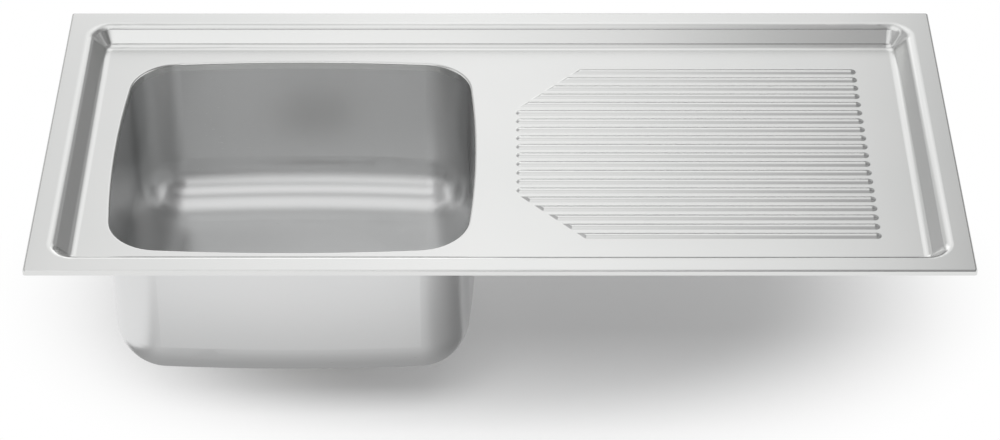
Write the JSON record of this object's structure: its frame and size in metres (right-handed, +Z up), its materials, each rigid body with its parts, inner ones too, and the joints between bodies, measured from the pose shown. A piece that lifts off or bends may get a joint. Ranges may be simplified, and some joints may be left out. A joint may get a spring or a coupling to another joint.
{
  "type": "inset kitchen sink with drainboard",
  "caption": "Top-mounted stainless-steel kitchen sink with a bowl on the left, a ribbed drainboard on the right, a basket strainer waste and swing-out fixing clips.",
  "frame": {"origin": "middle of the rim on the worktop plane, at the lip's lower edge", "axes": "+X along the sink towards the drainboard, +Y to the back, +Z up"},
  "size_m": [1, 0.5, 0.285],
  "materials": {
    "stainless_satin": "satin brushed stainless steel",
    "stainless_bright": "bright stainless steel",
    "zinc_plated_steel": "clear zinc plating",
    "foam_rubber": "closed-cell foam",
    "black_rubber": "moulded rubber",
    "bitumen_pad": "sound-deadening pad",
    "white_plastic": "moulded polypropylene",
    "brass": "turned"
  },
  "bodies": {
    "sink": {"sink_top": "stainless_satin", "bowl": "stainless_satin", "rim_seal": "foam_rubber", "bowl_pad": "bitumen_pad", "drainer_pad": "bitumen_pad", "earthing_tag": "stainless_bright", "flange_gasket": "black_rubber", "strainer_flange": "stainless_bright", "body_gasket": "black_rubber", "strainer_body": "white_plastic", "insert_bush": "brass", "centre_screw": "stainless_bright", "clip_brackets": "zinc_plated_steel", "clip_nuts": "zinc_plated_steel"},
    "basket_lift_out": {"basket": "stainless_bright", "basket_seal": "black_rubber", "basket_stem": "stainless_bright", "basket_knob": "stainless_bright"},
    "clip_carrier_1": {"clip_washer_1": "zinc_plated_steel"},
    "clip_screw_body_1": {"clip_screw_1": "zinc_plated_steel"},
    "clip_claw_body_1": {"clip_claw_1": "zinc_plated_steel"},
    "clip_carrier_2": {"clip_washer_2": "zinc_plated_steel"},
    "clip_screw_body_2": {"clip_screw_2": "zinc_plated_steel"},
    "clip_claw_body_2": {"clip_claw_2": "zinc_plated_steel"},
    "clip_carrier_3": {"clip_washer_3": "zinc_plated_steel"},
    "clip_screw_body_3": {"clip_screw_3": "zinc_plated_steel"},
    "clip_claw_body_3": {"clip_claw_3": "zinc_plated_steel"},
    "clip_carrier_4": {"clip_washer_4": "zinc_plated_steel"},
    "clip_screw_body_4": {"clip_screw_4": "zinc_plated_steel"},
    "clip_claw_body_4": {"clip_claw_4": "zinc_plated_steel"},
    "clip_carrier_5": {"clip_washer_5": "zinc_plated_steel"},
    "clip_screw_body_5": {"clip_screw_5": "zinc_plated_steel"},
    "clip_claw_body_5": {"clip_claw_5": "zinc_plated_steel"},
    "clip_carrier_6": {"clip_washer_6": "zinc_plated_steel"},
    "clip_screw_body_6": {"clip_screw_6": "zinc_plated_steel"},
    "clip_claw_body_6": {"clip_claw_6": "zinc_plated_steel"},
    "clip_carrier_7": {"clip_washer_7": "zinc_plated_steel"},
    "clip_screw_body_7": {"clip_screw_7": "zinc_plated_steel"},
    "clip_claw_body_7": {"clip_claw_7": "zinc_plated_steel"},
    "clip_carrier_8": {"clip_washer_8": "zinc_plated_steel"},
    "clip_screw_body_8": {"clip_screw_8": "zinc_plated_steel"},
    "clip_claw_body_8": {"clip_claw_8": "zinc_plated_steel"}
  },
  "joints": [
    {"name": "basket_lift", "type": "slide", "parent": "sink", "child": "basket_lift_out", "axis": [0, 0, 1], "range_m": [0, 0.24]},
    {"name": "clip_lift_1", "type": "slide", "parent": "sink", "child": "clip_carrier_1", "axis": [0, 0, 1], "range_m": [-0.015, 0]},
    {"name": "clip_turn_1", "type": "hinge", "parent": "clip_carrier_1", "child": "clip_screw_body_1", "pos_m": [-0.434, -0.182, -0.04], "axis": [0, 0, 1], "range_deg": [-5400, 0]},
    {"name": "clip_swing_1", "type": "hinge", "parent": "clip_carrier_1", "child": "clip_claw_body_1", "pos_m": [-0.434, -0.182, -0.04], "axis": [0, 0, 1], "range_deg": [0, 90]},
    {"name": "clip_lift_2", "type": "slide", "parent": "sink", "child": "clip_carrier_2", "axis": [0, 0, 1], "range_m": [-0.015, 0]},
    {"name": "clip_turn_2", "type": "hinge", "parent": "clip_carrier_2", "child": "clip_screw_body_2", "pos_m": [0.06, -0.182, -0.04], "axis": [0, 0, 1], "range_deg": [-5400, 0]},
    {"name": "clip_swing_2", "type": "hinge", "parent": "clip_carrier_2", "child": "clip_claw_body_2", "pos_m": [0.06, -0.182, -0.04], "axis": [0, 0, -1], "range_deg": [0, 90]},
    {"name": "clip_lift_3", "type": "slide", "parent": "sink", "child": "clip_carrier_3", "axis": [0, 0, 1], "range_m": [-0.015, 0]},
    {"name": "clip_turn_3", "type": "hinge", "parent": "clip_carrier_3", "child": "clip_screw_body_3", "pos_m": [0.25, -0.182, -0.04], "axis": [0, 0, 1], "range_deg": [-5400, 0]},
    {"name": "clip_swing_3", "type": "hinge", "parent": "clip_carrier_3", "child": "clip_claw_body_3", "pos_m": [0.25, -0.182, -0.04], "axis": [0, 0, -1], "range_deg": [0, 90]},
    {"name": "clip_lift_4", "type": "slide", "parent": "sink", "child": "clip_carrier_4", "axis": [0, 0, 1], "range_m": [-0.015, 0]},
    {"name": "clip_turn_4", "type": "hinge", "parent": "clip_carrier_4", "child": "clip_screw_body_4", "pos_m": [0.434, -0.182, -0.04], "axis": [0, 0, 1], "range_deg": [-5400, 0]},
    {"name": "clip_swing_4", "type": "hinge", "parent": "clip_carrier_4", "child": "clip_claw_body_4", "pos_m": [0.434, -0.182, -0.04], "axis": [0, 0, -1], "range_deg": [0, 90]},
    {"name": "clip_lift_5", "type": "slide", "parent": "sink", "child": "clip_carrier_5", "axis": [0, 0, 1], "range_m": [-0.015, 0]},
    {"name": "clip_turn_5", "type": "hinge", "parent": "clip_carrier_5", "child": "clip_screw_body_5", "pos_m": [-0.434, 0.182, -0.04], "axis": [0, 0, 1], "range_deg": [-5400, 0]},
    {"name": "clip_swing_5", "type": "hinge", "parent": "clip_carrier_5", "child": "clip_claw_body_5", "pos_m": [-0.434, 0.182, -0.04], "axis": [0, 0, -1], "range_deg": [0, 90]},
    {"name": "clip_lift_6", "type": "slide", "parent": "sink", "child": "clip_carrier_6", "axis": [0, 0, 1], "range_m": [-0.015, 0]},
    {"name": "clip_turn_6", "type": "hinge", "parent": "clip_carrier_6", "child": "clip_screw_body_6", "pos_m": [0.06, 0.182, -0.04], "axis": [0, 0, 1], "range_deg": [-5400, 0]},
    {"name": "clip_swing_6", "type": "hinge", "parent": "clip_carrier_6", "child": "clip_claw_body_6", "pos_m": [0.06, 0.182, -0.04], "axis": [0, 0, 1], "range_deg": [0, 90]},
    {"name": "clip_lift_7", "type": "slide", "parent": "sink", "child": "clip_carrier_7", "axis": [0, 0, 1], "range_m": [-0.015, 0]},
    {"name": "clip_turn_7", "type": "hinge", "parent": "clip_carrier_7", "child": "clip_screw_body_7", "pos_m": [0.25, 0.182, -0.04], "axis": [0, 0, 1], "range_deg": [-5400, 0]},
    {"name": "clip_swing_7", "type": "hinge", "parent": "clip_carrier_7", "child": "clip_claw_body_7", "pos_m": [0.25, 0.182, -0.04], "axis": [0, 0, 1], "range_deg": [0, 90]},
    {"name": "clip_lift_8", "type": "slide", "parent": "sink", "child": "clip_carrier_8", "axis": [0, 0, 1], "range_m": [-0.015, 0]},
    {"name": "clip_turn_8", "type": "hinge", "parent": "clip_carrier_8", "child": "clip_screw_body_8", "pos_m": [0.434, 0.182, -0.04], "axis": [0, 0, 1], "range_deg": [-5400, 0]},
    {"name": "clip_swing_8", "type": "hinge", "parent": "clip_carrier_8", "child": "clip_claw_body_8", "pos_m": [0.434, 0.182, -0.04], "axis": [0, 0, 1], "range_deg": [0, 90]}
  ],
  "couplings": [
    {"joint": "clip_turn_1", "follows": "clip_lift_1", "rad_per_m": 6283.2},
    {"joint": "clip_turn_2", "follows": "clip_lift_2", "rad_per_m": 6283.2},
    {"joint": "clip_turn_3", "follows": "clip_lift_3", "rad_per_m": 6283.2},
    {"joint": "clip_turn_4", "follows": "clip_lift_4", "rad_per_m": 6283.2},
    {"joint": "clip_turn_5", "follows": "clip_lift_5", "rad_per_m": 6283.2},
    {"joint": "clip_turn_6", "follows": "clip_lift_6", "rad_per_m": 6283.2},
    {"joint": "clip_turn_7", "follows": "clip_lift_7", "rad_per_m": 6283.2},
    {"joint": "clip_turn_8", "follows": "clip_lift_8", "rad_per_m": 6283.2}
  ]
}
